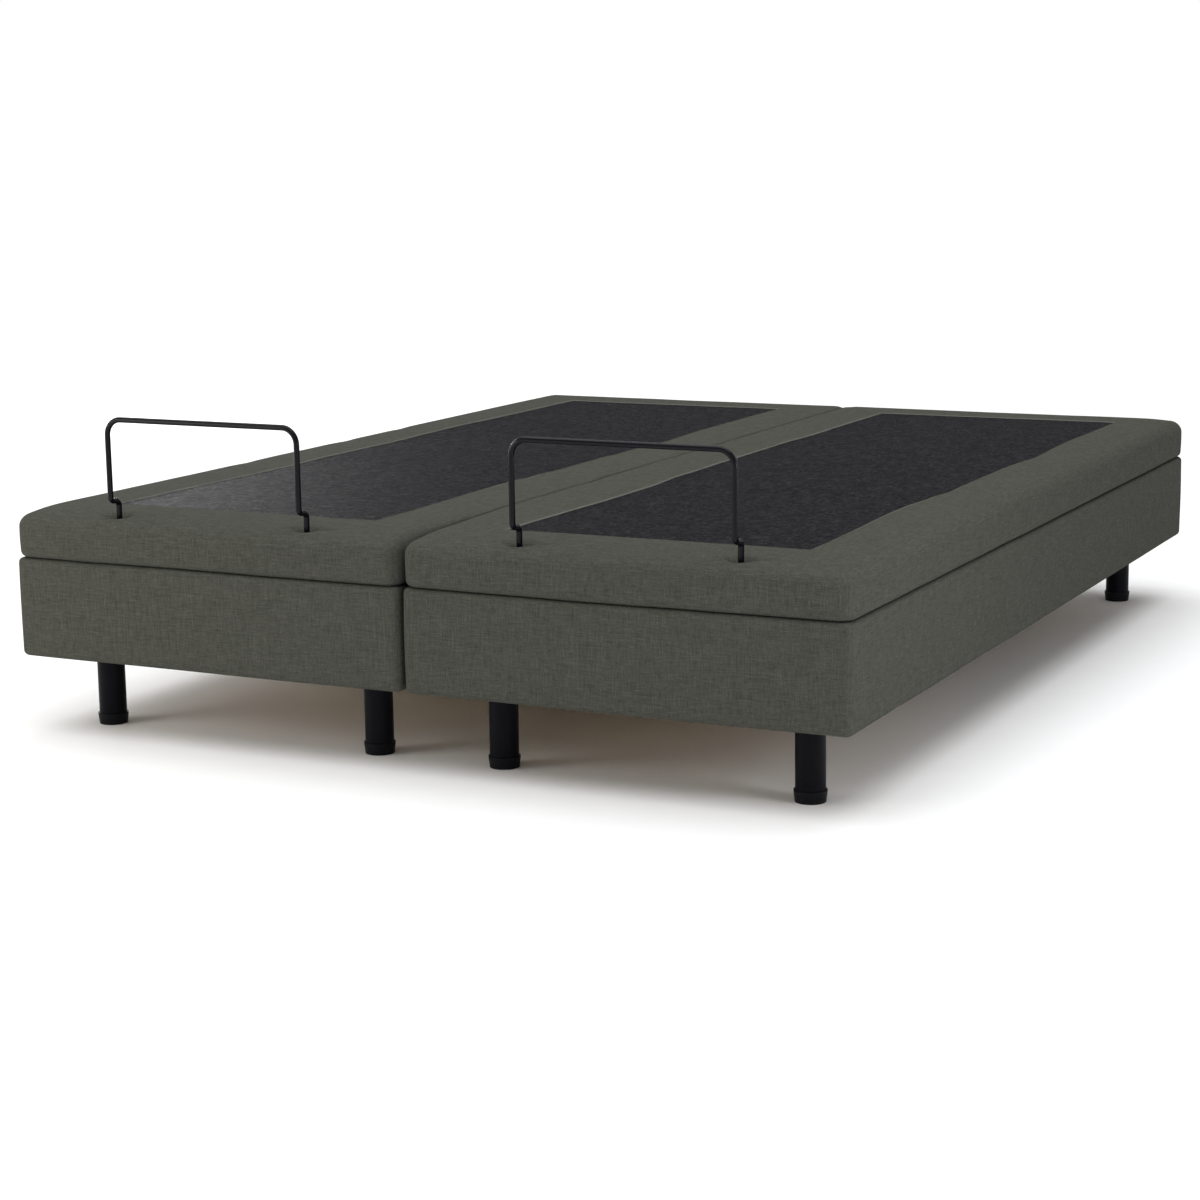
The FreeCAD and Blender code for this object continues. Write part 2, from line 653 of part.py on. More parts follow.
def controls():
    """Control box on the inside of each head board, with a three-pin mains inlet in its underside."""
    boxes, inlets = [], []
    for unit, middle in UNITS:
        y = "inner_end - control_deep"
        case = block(
            f"{unit}_control_case", ("control_wide", "control_deep", "control_high"),
            (f"{middle} - control_wide / 2", y, "control_bottom"),
        )
        inlet_low = (f"{middle} - inlet_wide / 2", f"{y} + 8", "control_bottom")
        opening = block(f"{unit}_control_opening", ("inlet_wide", "inlet_high", "inlet_deep"), inlet_low)
        boxes.append(cut(f"{unit}_control", case, [opening]))
        shell = block(f"{unit}_inlet_shell", ("inlet_wide", "inlet_high", "inlet_deep"), inlet_low)
        recess = block(
            f"{unit}_inlet_recess", ("inlet_wide - 24", "inlet_high - 8", "inlet_deep - 4"),
            (f"{middle} - inlet_wide / 2 + 12", f"{y} + 12", "control_bottom"),
        )
        cup = cut(f"{unit}_inlet_cup", shell, [recess])
        pins = [
            block(
                f"{unit}_inlet_pin{number}", ("2", "4", "inlet_deep - 6"),
                (f"{middle} + {7 * (number - 1)} - 1", f"{y} + {21 if number == 1 else 17}", "control_bottom + 3"),
            )
            for number in range(3)
        ]
        inlets.append(fuse(f"{unit}_inlet", [cup, *pins]))
    node("control_boxes", group("control_boxes", boxes))
    node("mains_inlets", group("mains_inlets", inlets))


def retainer(unit, middle):
    """Bent round bar that stops the mattress, and the two flanged sockets it stands in."""
    name = f"{unit}_bar"
    radius = "bar_d / 2"
    parts = []
    sockets = []
    for side, across in SIDES:
        x = f"{middle} + {across} * bar_half"
        parts.append(
            rod(f"{name}_{side}_pin", radius, "bar_jog_z - bar_jog_r - bar_pin_low", (x, "bar_pin_y", "bar_pin_low"), "z")
        )
        # the jog: up from the socket, toward the foot, and up again
        parts.append(
            bend(
                f"{name}_{side}_jog_low", "bar_jog_r", radius, (x, "bar_pin_y - bar_jog_r", "bar_jog_z - bar_jog_r"),
                FreeCAD.Rotation(FreeCAD.Vector(0, 1, 0), FreeCAD.Vector(0, 0, 1), FreeCAD.Vector(1, 0, 0), "XYZ"),
            )
        )
        parts.append(
            rod(
                f"{name}_{side}_jog", radius, "bar_pin_y - bar_rail_y - 2 * bar_jog_r",
                (x, "bar_rail_y + bar_jog_r", "bar_jog_z"), "y",
            )
        )
        parts.append(
            bend(
                f"{name}_{side}_jog_high", "bar_jog_r", radius, (x, "bar_rail_y + bar_jog_r", "bar_jog_z + bar_jog_r"),
                FreeCAD.Rotation(FreeCAD.Vector(0, -1, 0), FreeCAD.Vector(0, 0, -1), FreeCAD.Vector(1, 0, 0), "XYZ"),
            )
        )
        parts.append(
            rod(
                f"{name}_{side}_rail", radius, "bar_top_z - bar_bend_r - bar_jog_z - bar_jog_r",
                (x, "bar_rail_y", "bar_jog_z + bar_jog_r"), "z",
            )
        )
        outward = FreeCAD.Vector(int(across), 0, 0)
        parts.append(
            bend(
                f"{name}_{side}_corner", "bar_bend_r", radius,
                (f"{x} - {across} * bar_bend_r", "bar_rail_y", "bar_top_z - bar_bend_r"),
                FreeCAD.Rotation(outward, FreeCAD.Vector(0, 0, 1), FreeCAD.Vector(0, -int(across), 0), "XYZ"),
            )
        )
        sockets.append(socket(f"{unit}_{side}_socket", x))
    parts.append(
        rod(
            f"{name}_top", radius, "2 * (bar_half - bar_bend_r)",
            (f"{middle} - bar_half + bar_bend_r", "bar_rail_y", "bar_top_z"), "x",
        )
    )
    node(f"{unit}_retainer_bar", fuse(f"{unit}_retainer", parts))
    node(f"{unit}_bar_sockets", group(f"{unit}_sockets", sockets))


def socket(name, x):
    """Blind flanged tube in the calf deck and mat."""
    barrel = rod(f"{name}_barrel", "socket_d / 2", "socket_top - socket_low", (x, "bar_pin_y", "socket_low"), "z")
    flange = rod(
        f"{name}_flange", "socket_flange_d / 2", "deck_bottom - socket_low", (x, "bar_pin_y", "socket_low"), "z"
    )
    low = "bar_pin_low - rest_gap"
    bore = rod(f"{name}_bore", "bar_d / 2 + 2 * running", f"socket_top - {low} + 1", (x, "bar_pin_y", low), "z")
    return cut(name, fuse(f"{name}_raw", [barrel, flange]), [bore])


def unit_links():
    """Plates screwed under the two inner side boards to hold the units together."""
    plates = []
    for end, along in ENDS:
        y = f"{along} * link_y"
        plate = block(
            f"{end}_link_plate", ("link_wide", "link_deep", "link_thick"),
            ("-link_wide / 2", f"{y} - link_deep / 2", "box_bottom - link_thick"),
        )
        parts = [plate]
        for side, across in SIDES:
            x = f"{across} * (unit_gap / 2 + skin + box_board / 2)"
            parts.append(
                rod(f"{end}_{side}_link_head", "link_bolt_d", "4", (x, y, "box_bottom - link_thick - 4"), "z")
            )
        plates.append(fuse(f"{end}_link", parts))
    node("unit_links", group("unit_links", plates))


def seat_cleats():
    """Battens on the side boards that the fixed seat deck is screwed to."""
    cleats = []
    for unit, middle in UNITS:
        for side, across in SIDES:
            x = f"{middle} + {across} * (inner_half - cleat / 2) - cleat / 2"
            y = "(back_hinge_y + thigh_hinge_y - cleat_long) / 2"
            high = "deck_bottom - tube_z - bearing_size * 0.3"
            size = ("cleat", "cleat_long", high)
            cleats.append(block(f"{unit}_{side}_cleat", size, (x, y, f"deck_bottom - ({high})")))
    node("seat_cleats", group("seat_cleats", cleats))


def build():
    """Make every piece of the twin base."""
    box_boards()
    legs()
    seat_leaves = []
    for unit, middle in UNITS:
        box_cover(unit, middle)
        sections(unit, middle)
        seat_leaves += hinges(unit, middle)
        lift_frame(unit, middle, "back", "back_hinge_y", 1, "back_turn")
        lift_frame(unit, middle, "thigh", "thigh_tube_y", -1, "thigh_turn")
        rollers(unit, middle, "back", "back_hinge_y", 1)
        rollers(unit, middle, "thigh", "thigh_tube_y", -1)
        retainer(unit, middle)
    node("seat_hinge_leaves", group("seat_hinge_leaves", seat_leaves))
    bearings()
    seat_cleats()
    drives()
    controls()
    unit_links()


def save():
    """Check every object, then write one STEP file per piece."""
    doc.recompute()
    for obj in doc.Objects:
        if "Invalid" in obj.State or "Error" in obj.State:
            raise RuntimeError(f"{obj.Name} did not compute: {obj.State}")
    os.makedirs("parts", exist_ok=True)
    for obj in NODES:
        shape = obj.Shape
        if shape.isNull() or not shape.isValid() or not shape.Solids:
            raise RuntimeError(f"{obj.Label} has no valid solid")
        shape.exportStep(f"parts/{obj.Label}.step")
        print(obj.Label, len(shape.Solids), round(shape.Volume / 1000.0, 1), "cm3")


build()
save()
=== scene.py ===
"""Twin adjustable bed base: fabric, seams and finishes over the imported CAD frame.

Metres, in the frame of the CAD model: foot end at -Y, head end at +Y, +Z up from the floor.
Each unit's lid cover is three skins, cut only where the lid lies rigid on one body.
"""
import bpy
import json
import math
import numpy as np
from mathutils import Matrix, Vector, noise


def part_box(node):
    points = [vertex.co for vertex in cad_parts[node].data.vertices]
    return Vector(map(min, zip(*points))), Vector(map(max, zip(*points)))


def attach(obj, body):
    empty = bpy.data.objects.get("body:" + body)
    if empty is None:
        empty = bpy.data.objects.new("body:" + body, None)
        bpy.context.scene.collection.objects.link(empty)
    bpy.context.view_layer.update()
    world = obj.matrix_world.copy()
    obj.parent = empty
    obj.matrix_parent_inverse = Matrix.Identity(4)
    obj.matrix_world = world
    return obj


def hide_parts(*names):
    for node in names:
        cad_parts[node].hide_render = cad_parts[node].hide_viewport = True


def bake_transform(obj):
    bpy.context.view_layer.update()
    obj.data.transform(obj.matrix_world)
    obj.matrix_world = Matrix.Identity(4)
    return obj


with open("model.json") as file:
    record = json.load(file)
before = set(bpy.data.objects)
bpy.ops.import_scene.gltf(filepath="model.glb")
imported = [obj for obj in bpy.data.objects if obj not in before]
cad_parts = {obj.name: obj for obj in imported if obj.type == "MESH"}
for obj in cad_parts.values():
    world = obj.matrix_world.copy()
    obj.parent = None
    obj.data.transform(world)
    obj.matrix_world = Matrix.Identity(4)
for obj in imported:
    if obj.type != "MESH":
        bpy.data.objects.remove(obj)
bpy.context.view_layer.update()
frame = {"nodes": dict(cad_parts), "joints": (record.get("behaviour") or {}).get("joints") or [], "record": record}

UNITS = ("left", "right")
JOINTS = {joint["name"]: joint for joint in frame["joints"]}

# ---------------------------------------------------------------- camera

FRAME_PX = 1200.0
FOCAL_PX = 2510.7
CAMERA_AT = Vector((2.1263, -4.5684, 1.0699))
YAW, PITCH, ROLL = math.radians(26.484), math.radians(10.725), math.radians(-0.782)


def make_camera():
    """Camera at the photograph's viewing angle."""
    forward = Vector((-math.sin(YAW) * math.cos(PITCH), math.cos(YAW) * math.cos(PITCH), -math.sin(PITCH)))
    level = Vector((math.cos(YAW), math.sin(YAW), 0.0))
    lift = level.cross(forward)
    right = level * math.cos(ROLL) + lift * math.sin(ROLL)
    up = lift * math.cos(ROLL) - level * math.sin(ROLL)
    data = bpy.data.cameras.new("camera")
    data.sensor_width = 36.0
    data.lens = FOCAL_PX / FRAME_PX * data.sensor_width
    data.clip_end = 60.0
    camera = bpy.data.objects.new("camera", data)
    camera.matrix_world = Matrix.Translation(CAMERA_AT) @ Matrix((right, up, -forward)).transposed().to_4x4()
    bpy.context.scene.collection.objects.link(camera)
    bpy.context.scene.camera = camera


# ---------------------------------------------------------------- shells

LID_LOW, LID_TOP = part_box("left_calf_mat")[0].z - 0.0006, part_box("left_calf_mat")[1].z + 0.0005
TOP_R, UNDER_R, CORNER_R = 0.024, 0.012, 0.026
PRESSED_R = 0.005
GRID = 0.010
SPLIT_SEAT, SPLIT_THIGH = 0.155, -0.150
HEM = 0.045


def lines(low, high, edge_low, edge_high, step, extra=()):
    """Grid lines from low to high: finer over the rounded edges, even between them."""
    angles = [math.radians(a) for a in (45, 37, 29, 21, 13, 6, 0)]
    start = [low + edge_low * (1 - math.tan(a)) for a in angles]
    end = [high - edge_high * (1 - math.tan(a)) for a in angles]
    first, last = low + edge_low, high - edge_high
    inner = np.linspace(first, last, max(2, round((high - low - edge_low - edge_high) / step)))
    values = sorted(set(np.round(np.concatenate([start, end, inner, list(extra)]), 6)))
    keep = [values[0]]
    for v in values[1:]:
        if v - keep[-1] > 0.0006 or v in extra:
            keep.append(v)
    return np.array(keep)


class Shell:
    """Quads on the faces of a box, welded by their place on it before they are rounded and shaped."""

    def __init__(self):
        self.index = {}
        self.points = []
        self.quads = []

    def vertex(self, point):
        key = tuple(np.round(point, 6))
        if key not in self.index:
            self.index[key] = len(self.points)
            self.points.append(key)
        return self.index[key]

    def sheet(self, us, vs, to_point, flip, keep=None):
        grid = [[self.vertex(to_point(u, v)) for v in vs] for u in us]
        for i in range(len(us) - 1):
            for j in range(len(vs) - 1):
                if keep and not keep((us[i] + us[i + 1]) / 2, (vs[j] + vs[j + 1]) / 2):
                    continue
                quad = [grid[i][j], grid[i + 1][j], grid[i + 1][j + 1], grid[i][j + 1]]
                self.quads.append(quad[::-1] if flip else quad)


def box_shell(half_x, half_y, low, high, xs, ys, zs, top_keep=None):
    """Shell of a box: four sides, a top, and a hem turned in underneath."""
    shell = Shell()
    shell.sheet(xs, ys, lambda u, v: (u, v, high), False, top_keep)
    shell.sheet(xs, zs, lambda u, v: (u, -half_y, v), False)
    shell.sheet(xs, zs, lambda u, v: (u, half_y, v), True)
    shell.sheet(ys, zs, lambda u, v: (-half_x, u, v), True)
    shell.sheet(ys, zs, lambda u, v: (half_x, u, v), False)
    hem_x, hem_y = half_x - HEM, half_y - HEM
    shell.sheet(xs, ys, lambda u, v: (u, v, low), True, lambda x, y: abs(x) > hem_x or abs(y) > hem_y)
    return np.array(shell.points), shell.quads


def round_off(points, half_x, half_y, low, high, corner, top, under):
    """Round the box's upright corners, then the edges of its top and underside; also returns the way out."""
    core = np.array([half_x - corner, half_y - corner])
    inside = np.clip(points[:, :2], -core, core)
    away = points[:, :2] - inside
    reach = np.abs(away).max(axis=1)
    length = np.maximum(np.linalg.norm(away, axis=1), 1e-12)
    out = away / length[:, None]
    out[reach < 1e-9] = 0
    z = points[:, 2].copy()
    inset = corner - reach
    for edge, radius, sign in ((high, top, 1), (low, under, -1)):
        along = radius - inset
        rise = radius - sign * (edge - points[:, 2])
        near = (along > 0) & (rise > 0)
        span = np.maximum(np.hypot(along, rise), 1e-12)
        inset = np.where(near, radius - radius * along / span, inset)
        z = np.where(near, edge - sign * (radius - radius * rise / span), z)
    plan = inside + out * (corner - inset)[:, None]
    return np.column_stack([plan, z]), out


def smooth_noise(points, scale, seed):
    """Smooth repeatable noise, about -1 to 1, at each point."""
    shift = Vector((seed * 7.31, seed * 3.17, seed * 5.73))
    return np.array([noise.noise(Vector(p) * scale + shift) for p in points])


def bump_at(distance, width):
    """Soft bell of height 1."""
    return np.exp(-((distance / width) ** 2))


def mesh_object(name, points, quads, materials, choose=None):
    """Smooth-shaded mesh object from points and faces."""
    used = sorted({i for quad in quads for i in quad})
    renumber = {old: new for new, old in enumerate(used)}
    mesh = bpy.data.meshes.new(name)
    mesh.from_pydata([tuple(points[i]) for i in used], [], [[renumber[i] for i in quad] for quad in quads])
    for material in materials:
        mesh.materials.append(material)
    if choose:
        mesh.polygons.foreach_set("material_index", [choose(quad) for quad in quads])
    mesh.polygons.foreach_set("use_smooth", [True] * len(mesh.polygons))
    mesh.update()
    obj = bpy.data.objects.new(name, mesh)
    bpy.context.scene.collection.objects.link(obj)
    return obj


# ---------------------------------------------------------------- lid covers

RIM_SIDE, RIM_FOOT, RIM_HEAD = 0.1255, 0.1400, 0.1325
SEAM_STEPS = (-0.0060, -0.0042, -0.0028, -0.0014, 0.0, 0.0014, 0.0030, 0.0060)
HEM_BAND = 0.0030


def panel_edges(half_x, half_y, seed):
    """Sides of the charcoal panel: each wanders a little, and the long ones step where the lid folds."""

    def wander(t, k, size):
        slow = noise.noise(Vector((t * 2.1, seed * 1.7 + k, 0.3)))
        fast = noise.noise(Vector((t * 6.0, seed * 2.3 + k, 1.3)))
        return size * slow + 0.3 * size * fast

    def steps(y):
        pulled = -0.011 * bump_at(y + 0.46, 0.20)
        return pulled + 0.009 * bump_at(y - 0.29, 0.13) + 0.004 * bump_at(y + 0.22, 0.05)

    return {
        "left": lambda y: -half_x + RIM_SIDE - 0.7 * steps(y) + wander(y, 0.0, 0.004),
        "right": lambda y: half_x - RIM_SIDE + steps(y) + wander(y, 5.0, 0.004),
        "foot": lambda x: -half_y + RIM_FOOT + wander(x, 11.0, 0.004),
        "head": lambda x: half_y - RIM_HEAD + wander(x, 17.0, 0.003),
    }


def lid_cover(unit, materials):
    """Upholstered lid of one unit, cut into a foot, a middle and a head piece."""
    low_corner, high_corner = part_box(f"{unit}_box_cover")
    centre = (low_corner.x + high_corner.x) / 2
    half_x = (high_corner.x - low_corner.x) / 2
    half_y = (high_corner.y - low_corner.y) / 2
    seed = 1.0 if unit == "left" else 2.0
    socket_low, socket_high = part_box(f"{unit}_bar_sockets")
    socket_r = (socket_high.y - socket_low.y) / 4
    sockets = [
        (socket_low.x + 2 * socket_r - centre, (socket_low.y + socket_high.y) / 2),
        (socket_high.x - 2 * socket_r - centre, (socket_low.y + socket_high.y) / 2),
    ]
    around = [0.0, 0.0025, 0.005, 0.0075, 0.010, 0.0125, 0.015, 0.018, 0.021, 0.025, 0.030, 0.036, 0.044]
    fine_x = [x + s * f for x, _ in sockets for f in around for s in (-1, 1)]
    fine_y = [sockets[0][1] + s * f for f in around[:10] for s in (-1, 1)]
    panel_x = [s * (half_x - RIM_SIDE + d) for s in (-1, 1) for d in SEAM_STEPS]
    panel_y = [-half_y + RIM_FOOT - d for d in SEAM_STEPS] + [half_y - RIM_HEAD + d for d in SEAM_STEPS]
    xs = lines(-half_x, half_x, TOP_R, TOP_R, GRID, [*fine_x, *panel_x])
    ys = lines(-half_y, half_y, TOP_R, TOP_R, GRID, [*fine_y, *panel_y, SPLIT_SEAT, SPLIT_THIGH])
    zs = lines(LID_LOW, LID_TOP, UNDER_R, TOP_R, 0.008)
    flat, quads = box_shell(half_x, half_y, LID_LOW, LID_TOP, xs, ys, zs)
    edges = panel_edges(half_x, half_y, seed)
    flat, band = fit_panel(flat, quads, edges, half_x, half_y)
    points, out = round_off(flat, half_x, half_y, LID_LOW, LID_TOP, CORNER_R, TOP_R, UNDER_R)
    inner = 1 if unit == "left" else -1
    pressed = press_together(flat, points, half_x, half_y, inner)
    points = shape_lid(points, flat, out, half_x, half_y, sockets, edges, seed, inner, pressed)
    points[:, 0] += centre
    middle = [np.mean([flat[i][1] for i in quad]) for quad in quads]
    parts = {
        "foot": (lambda y: y < SPLIT_THIGH, (f"{unit}_calf_mat",)),
        "mid": (lambda y: SPLIT_THIGH < y < SPLIT_SEAT, (f"{unit}_thigh_mat",)),
        "head": (lambda y: y > SPLIT_SEAT, (f"{unit}_back_mat", f"{unit}_seat_mat")),
    }
    pieces = {}
    for part, (inside, replaced) in parts.items():
        chosen = [k for k, y in enumerate(middle) if inside(y)]
        lookup = {tuple(quads[k]): band[k] for k in chosen}
        piece = mesh_object(
            f"{unit}_lid_cover_{part}", points, [quads[k] for k in chosen], materials,
            lambda quad, lookup=lookup: lookup[tuple(quad)],
        )
        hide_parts(*replaced)
        pieces[part] = piece
    bend_over_hinges(unit, pieces)
    return pieces


def fit_panel(flat, quads, edges, half_x, half_y):
    """Slide the grid lines near the panel's edge onto its wandering seam.

    Also returns, for each face, 0 for the rim, 1 for the charcoal panel and 2 for the folded hem beside it, which
    takes the lighter material that carries a painted highlight.
    """
    moved = flat.copy()
    top = flat[:, 2] > LID_TOP - 1e-6
    reach = 0.05
    for i in np.nonzero(top)[0]:
        x, y = flat[i, :2]
        sides = (
            (0, x, -half_x + RIM_SIDE, edges["left"](y)), (0, x, half_x - RIM_SIDE, edges["right"](y)),
            (1, y, -half_y + RIM_FOOT, edges["foot"](x)), (1, y, half_y - RIM_HEAD, edges["head"](x)),
        )
        for axis, here, straight, seam in sides:
            share = max(0.0, 1 - abs(here - straight) / reach)
            moved[i, axis] += (seam - straight) * share
    band = []
    for quad in quads:
        x, y, z = np.mean([flat[i] for i in quad], axis=0)
        inside = min(half_x - RIM_SIDE - abs(x), y + half_y - RIM_FOOT, half_y - RIM_HEAD - y)
        if z < LID_TOP - 1e-6 or inside < -HEM_BAND:
            band.append(0)
        else:
            band.append(1 if inside > 0 else 2)
    return moved, band


def smooth_step(value, low, high):
    """0 below low, 1 above high, smooth between."""
    t = np.clip((value - low) / (high - low), 0, 1)
    return t * t * (3 - 2 * t)


def press_together(flat, points, half_x, half_y, inner):
    """How firmly each point is pressed against the other unit's lid; also squares up the edge there."""
    y = flat[:, 1]
    firm = smooth_step(y, -half_y + 0.03, -half_y + 0.42) * (1 - smooth_step(y, half_y - 0.05, half_y))
    firm *= smooth_step(flat[:, 0] * inner, half_x - 0.06, half_x - 0.03)
    square, _ = round_off(flat, half_x, half_y, LID_LOW, LID_TOP, CORNER_R, PRESSED_R, UNDER_R)
    points += (square - points) * firm[:, None]
    return firm


def shape_lid(points, flat, out, half_x, half_y, sockets, edges, seed, inner, pressed):
    """Give the lid its crown, seam, sagging edges, hinge dips, puckers and slack."""
    points = points.copy()
    x, y, z = points.T
    share = np.clip((z - LID_LOW) / (LID_TOP - LID_LOW), 0, 1)
    height = np.clip((share - 0.35) / 0.65, 0, 1)
    left = np.array([edges["left"](v) for v in y])
    right = np.array([edges["right"](v) for v in y])
    foot = np.array([edges["foot"](v) for v in x])
    head = np.array([edges["head"](v) for v in x])
    gap = np.minimum(np.minimum(x - left, right - x), np.minimum(y - foot, head - y))
    on_top = flat[:, 2] > LID_TOP - 1e-6
    # the rim's folded hem stands up a little, the seam is a groove, the panel lies lower than the rim
    hem = 0.0010 * bump_at(gap + 0.0022, 0.0016) - 0.0020 * bump_at(gap, 0.0012)
    panel = -0.0010 * smooth_step(gap, 0.0, 0.006)
    crown = 0.0015 * np.sin(np.clip(-gap / RIM_SIDE, 0, 1) * math.pi)
    points[:, 2] += np.where(on_top, hem + panel + crown, 0)
    # the foam gives way along the outer edges, most at the foot end
    outer = -x * inner
    sag = 0.0075 * bump_at(y + half_y, 0.062) + 0.0020 * bump_at(y - half_y, 0.040)
    sag += (0.0045 if inner < 0 else 0.0) * bump_at(outer - half_x, 0.050)
    points[:, 2] -= height * sag
    # dips where the sections meet, and a long slack wave
    for joint in ("left_back_lift", "left_thigh_lift", "left_knee_bend"):
        hinge_y = JOINTS[joint]["pos_m"][1]
        deep = 0.0005 + 0.0005 * (gap < 0)
        points[:, 2] -= height * deep * bump_at(y - hinge_y, 0.032)
        points[:, :2] -= out * (share * (1 - pressed) * 0.0008 * bump_at(y - hinge_y, 0.040))[:, None]
    slack = smooth_noise(np.column_stack([x * 0.6, y, z * 0.4]), 2.6, seed)
    fine = smooth_noise(np.column_stack([x, y, z]), 9.0, seed + 4)
    points[:, 2] += height * (0.0010 * slack + 0.0004 * fine)
    # sides: a small belly, slack, and the push against the other unit's lid
    belly = np.sin(share * math.pi)
    wave = smooth_noise(np.column_stack([x, y, z * 1.5]), 5.0, seed + 9)
    points[:, :2] += out * ((0.0016 * belly + 0.0012 * wave * (1 - 0.5 * height)) * (1 - pressed))[:, None]
    near = smooth_step(x * inner, half_x - 0.03, half_x)
    points[:, 0] += inner * near * pressed * 0.0033
    # the lower seam wanders up and down; the box below follows the same line
    points[:, 2] += (1 - height) * seam_wave(x, y, seed)
    for spot in sockets:
        points[:, 2] += np.where(share > 0.6, pucker(x - spot[0], y - spot[1], seed), 0)
    return points


def pucker(dx, dy, seed):
    """Fabric drawn down into the hole round a retainer-bar pin, with a crease running off to each side."""
    oval = np.hypot(dx / 1.3, dy)
    funnel = -0.0200 * bump_at(oval, 0.0130)
    lip = 0.0010 * bump_at(oval - 0.024, 0.006) * (0.6 + 0.4 * np.cos(3 * np.arctan2(dy, dx) + seed))
    line = dy - 0.10 * dx
    reach = np.where(dx > 0, bump_at(dx - 0.034, 0.030), 0.7 * bump_at(dx + 0.026, 0.016))
    crease = -0.0048 * reach * bump_at(line, 0.0055)
    return funnel + lip + crease


def seam_wave(x, y, seed):
    """Height of the line between lid and box, up and down along the sides."""
    where = np.column_stack([np.asarray(x), np.asarray(y), np.full(len(x), seed)])
    wave = 0.0011 * smooth_noise(where, 3.1, seed + 20) + 0.0005 * smooth_noise(where, 11.0, seed + 25)
    return np.minimum(wave - 0.0010, 0.0)


def bend_over_hinges(unit, pieces):
    """Bake each lid piece's transform into its mesh; the hinge each piece spans is listed, but no piece is blended
    across it.
    """
    spans = {
        "head": ("base", f"{unit}_back", f"{unit}_back_lift", 0.105, 0.125),
        "mid": ("base", f"{unit}_thigh", f"{unit}_thigh_lift", 0.085, 0.085),
        "foot": (f"{unit}_thigh", f"{unit}_calf", f"{unit}_knee_bend", 0.070, 0.070),
    }
    for part, (fixed, moving, joint, before, after) in spans.items():
        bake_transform(pieces[part])


# ---------------------------------------------------------------- box skins

BOX_CORNER_R, BOX_TOP_R, BOX_UNDER_R = 0.014, 0.009, 0.011


def box_skin(unit, material):
    """Foam-backed fabric drawn round one box and turned in over its top and under its bottom edge."""
    low_corner, high_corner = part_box(f"{unit}_box_cover")
    centre = (low_corner.x + high_corner.x) / 2
    half_x = (high_corner.x - low_corner.x) / 2
    half_y = (high_corner.y - low_corner.y) / 2
    low, high = low_corner.z, high_corner.z - 0.0006
    seed = 1.0 if unit == "left" else 2.0
    fold = 0.024
    edge = BOX_UNDER_R
    xs = lines(-half_x, half_x, edge, edge, 0.014, [s * (half_x - fold) for s in (-1, 1)])
    ys = lines(-half_y, half_y, edge, edge, 0.014, [s * (half_y - fold) for s in (-1, 1)])
    zs = lines(low, high, BOX_UNDER_R, BOX_TOP_R, 0.012)

    def keep(x, y):
        return abs(x) > half_x - fold or abs(y) > half_y - fold

    flat, quads = box_shell(half_x, half_y, low, high, xs, ys, zs, keep)
    points, out = round_off(flat, half_x, half_y, low, high, BOX_CORNER_R, BOX_TOP_R, BOX_UNDER_R)
    x, y, z = points.T
    share = np.clip((z - low) / (high - low), 0, 1)
    wave = smooth_noise(np.column_stack([x, y, z * 1.3]), 3.4, seed + 31)
    small = smooth_noise(np.column_stack([x, y, z * 1.3]), 12.0, seed + 35)
    belly = np.sin(share * math.pi)
    points[:, :2] += out * (0.0012 * belly + (0.0015 * wave + 0.0005 * small) * belly)[:, None]
    points[:, 2] += np.clip((share - 0.7) / 0.3, 0, 1) * seam_wave(x, y, seed)
    points[:, 2] += (1 - share) ** 3 * 0.0012 * smooth_noise(points, 3.0, seed + 41)
    points[:, 0] += centre
    skin = mesh_object(f"{unit}_box_skin", points, quads, [material])
    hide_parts(f"{unit}_box_cover")
    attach(skin, "base")
    return skin


# ---------------------------------------------------------------- materials

